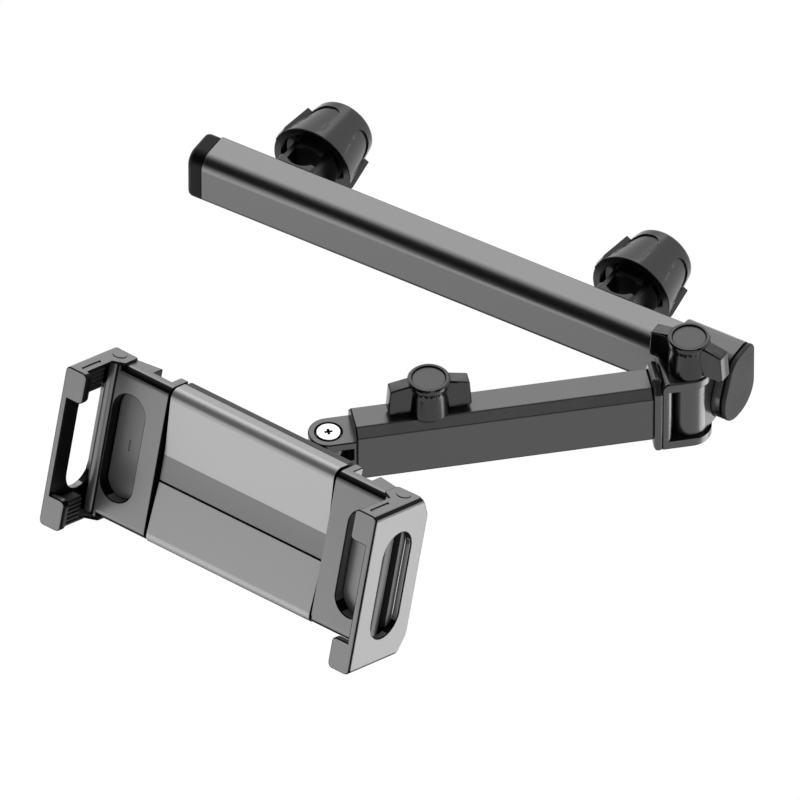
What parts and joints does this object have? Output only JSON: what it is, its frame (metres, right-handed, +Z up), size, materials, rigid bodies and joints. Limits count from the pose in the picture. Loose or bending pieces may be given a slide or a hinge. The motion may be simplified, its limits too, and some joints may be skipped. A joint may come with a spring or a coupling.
{
  "type": "headrest tablet mount",
  "caption": "Tablet mount that clamps to two headrest posts, with a folding extendable arm and a tilting spring-loaded jaw holder.",
  "frame": {"origin": "centre of the left headrest post's clamp, on the post's axis at the rail's mid height", "axes": "+X along the rail towards the hinge, +Y backwards from the rail towards the posts, +Z up along the posts"},
  "size_m": [0.2699, 0.2753, 0.0899],
  "materials": {
    "rail_aluminium": "satin anodised",
    "black_plastic": "fine matt grain",
    "knob_plastic": "semi-gloss",
    "disc_grey": "satin",
    "steel": "bright plated",
    "bearing_bronze": "plain",
    "cover_grey": "metallic satin",
    "jaw_grey": "metallic grey, satin",
    "soft_black": "matt"
  },
  "bodies": {
    "crossbar": {"crossbar_tube": "rail_aluminium", "left_end_cap": "black_plastic", "end_housing": "black_plastic", "housing_end_cap": "black_plastic", "housing_screws": "steel", "knuckle_bush": "bearing_bronze"},
    "arm": {"hinge_clevis": "black_plastic", "clevis_screws": "steel", "arm_tube": "black_plastic", "mouth_blocks": "black_plastic", "lock_nut_plate": "steel", "lock_shoe": "steel", "hinge_bolt": "steel", "hinge_washer": "steel"},
    "hinge_knob": {"hinge_knob": "knob_plastic", "hinge_knob_disc": "disc_grey", "hinge_knob_insert": "steel"},
    "lock_knob": {"lock_knob": "knob_plastic", "lock_knob_disc": "disc_grey", "lock_stud": "steel"},
    "slider": {"slider_fork": "black_plastic", "pivot_screw": "steel", "pivot_nut": "steel"},
    "link": {"swivel_link": "black_plastic", "tilt_pin": "steel", "tilt_nut": "steel"},
    "bracket": {"tilt_bracket": "black_plastic", "spin_retainer": "black_plastic", "spin_screws": "steel"},
    "holder": {"front_cover": "cover_grey", "back_cover": "black_plastic", "cover_screws": "steel", "left_spring": "steel", "right_spring": "steel"},
    "left_clamp": {"left_carriage": "black_plastic", "left_post_liner": "soft_black"},
    "left_thrust": {"left_thrust_block": "black_plastic", "left_thrust_pad": "soft_black"},
    "left_nut": {"left_clamp_nut": "knob_plastic"},
    "left_grip": {"left_end_block": "jaw_grey", "left_guide_rods": "steel", "left_block_pad": "soft_black", "left_jaw_pins": "steel"},
    "left_jaw": {"left_jaw": "jaw_grey", "left_jaw_pads": "soft_black"},
    "right_clamp": {"right_carriage": "black_plastic", "right_post_liner": "soft_black"},
    "right_thrust": {"right_thrust_block": "black_plastic", "right_thrust_pad": "soft_black"},
    "right_nut": {"right_clamp_nut": "knob_plastic"},
    "right_grip": {"right_end_block": "jaw_grey", "right_guide_rods": "steel", "right_block_pad": "soft_black", "right_jaw_pins": "steel"},
    "right_jaw": {"right_jaw": "jaw_grey", "right_jaw_pads": "soft_black"}
  },
  "joints": [
    {"name": "left_clamp_slide", "type": "slide", "parent": "crossbar", "child": "left_clamp", "axis": [1, 0, 0], "range_m": [-0.018, 0.04]},
    {"name": "right_clamp_slide", "type": "slide", "parent": "crossbar", "child": "right_clamp", "axis": [1, 0, 0], "range_m": [-0.04, 0.015]},
    {"name": "left_thrust_slide", "type": "slide", "parent": "left_clamp", "child": "left_thrust", "axis": [0, 1, 0], "range_m": [-0.0015, 0.009]},
    {"name": "left_nut_turn", "type": "hinge", "parent": "left_thrust", "child": "left_nut", "pos_m": [0, 0, 0], "axis": [0, 1, 0], "range_deg": [-180, 1080]},
    {"name": "right_thrust_slide", "type": "slide", "parent": "right_clamp", "child": "right_thrust", "axis": [0, 1, 0], "range_m": [-0.0015, 0.009]},
    {"name": "right_nut_turn", "type": "hinge", "parent": "right_thrust", "child": "right_nut", "pos_m": [0.156, 0, 0], "axis": [0, 1, 0], "range_deg": [-180, 1080]},
    {"name": "arm_hinge", "type": "hinge", "parent": "crossbar", "child": "arm", "pos_m": [0.2098, -0.0371, 0], "axis": [0, 0, 1], "range_deg": [-15, 105]},
    {"name": "hinge_knob_turn", "type": "hinge", "parent": "arm", "child": "hinge_knob", "pos_m": [0.2098, -0.0371, 0], "axis": [0, 0, 1], "continuous": true},
    {"name": "lock_knob_turn", "type": "hinge", "parent": "arm", "child": "lock_knob", "pos_m": [0.12705, -0.11109, 0], "axis": [0, 0, 1], "continuous": true},
    {"name": "arm_extension", "type": "slide", "parent": "arm", "child": "slider", "axis": [-0.7455, -0.6665, 0], "range_m": [0, 0.05]},
    {"name": "holder_swivel", "type": "hinge", "parent": "slider", "child": "link", "pos_m": [0.09522, -0.13955, 0], "axis": [0, 0, -1], "range_deg": [-45, 105]},
    {"name": "holder_tilt", "type": "hinge", "parent": "link", "child": "bracket", "pos_m": [0.08951, -0.17519, 0], "axis": [0.9874, -0.1582, 0], "range_deg": [-25, 60]},
    {"name": "holder_spin", "type": "hinge", "parent": "bracket", "child": "holder", "pos_m": [0.0861, -0.19647, 0.00746], "axis": [-0.1495, -0.9331, 0.3272], "continuous": true},
    {"name": "left_grip_slide", "type": "slide", "parent": "holder", "child": "left_grip", "axis": [-0.9887, 0.1381, -0.0577], "range_m": [0, 0.03], "stiffness_N_per_m": 250, "springref_m": -0.02},
    {"name": "right_grip_slide", "type": "slide", "parent": "holder", "child": "right_grip", "axis": [0.9887, -0.1381, 0.0577], "range_m": [0, 0.03], "stiffness_N_per_m": 250, "springref_m": -0.02},
    {"name": "left_jaw_fold", "type": "hinge", "parent": "left_grip", "child": "left_jaw", "pos_m": [0.01171, -0.1813, 0.00144], "axis": [-0.0086, 0.3322, 0.9432], "range_deg": [0, 55]},
    {"name": "right_jaw_fold", "type": "hinge", "parent": "right_grip", "child": "right_jaw", "pos_m": [0.16199, -0.2023, 0.01021], "axis": [0.0086, -0.3322, -0.9432], "range_deg": [0, 55]}
  ],
  "couplings": [
    {"joint": "left_nut_turn", "follows": "left_thrust_slide", "rad_per_m": 2094.4},
    {"joint": "right_nut_turn", "follows": "right_thrust_slide", "rad_per_m": 2094.4}
  ]
}
